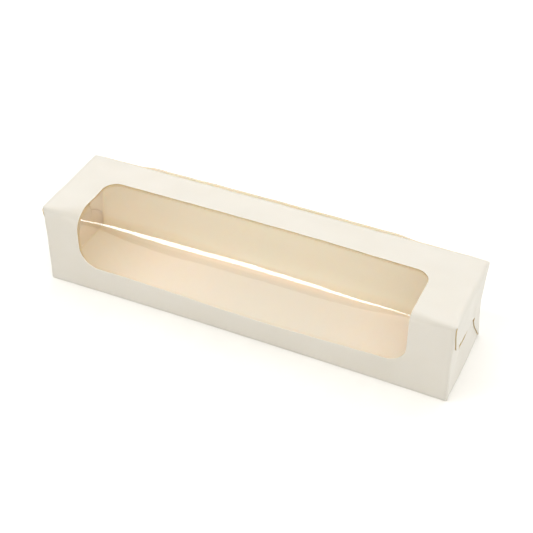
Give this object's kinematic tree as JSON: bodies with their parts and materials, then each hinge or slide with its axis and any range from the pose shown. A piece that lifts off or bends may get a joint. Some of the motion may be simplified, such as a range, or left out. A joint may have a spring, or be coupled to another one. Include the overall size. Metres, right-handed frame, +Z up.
{
  "type": "macaron box",
  "caption": "Long shut card box with a clear window wrapping over its top front edge and tongue-locked ends, for a standing row of small round biscuits.",
  "frame": {"origin": "centre of the bounding box, at the bottom", "axes": "+X along the length, -Y the front with the lower half of the window, +Z up"},
  "size_m": [0.24, 0.0602, 0.0521],
  "materials": {
    "card": "ivory coated folding board, matte, tan on the inside",
    "film": "thin clear plastic film, glossy"
  },
  "bodies": {
    "root": {"carton": "card", "window_film": "film"}
  },
  "joints": []
}
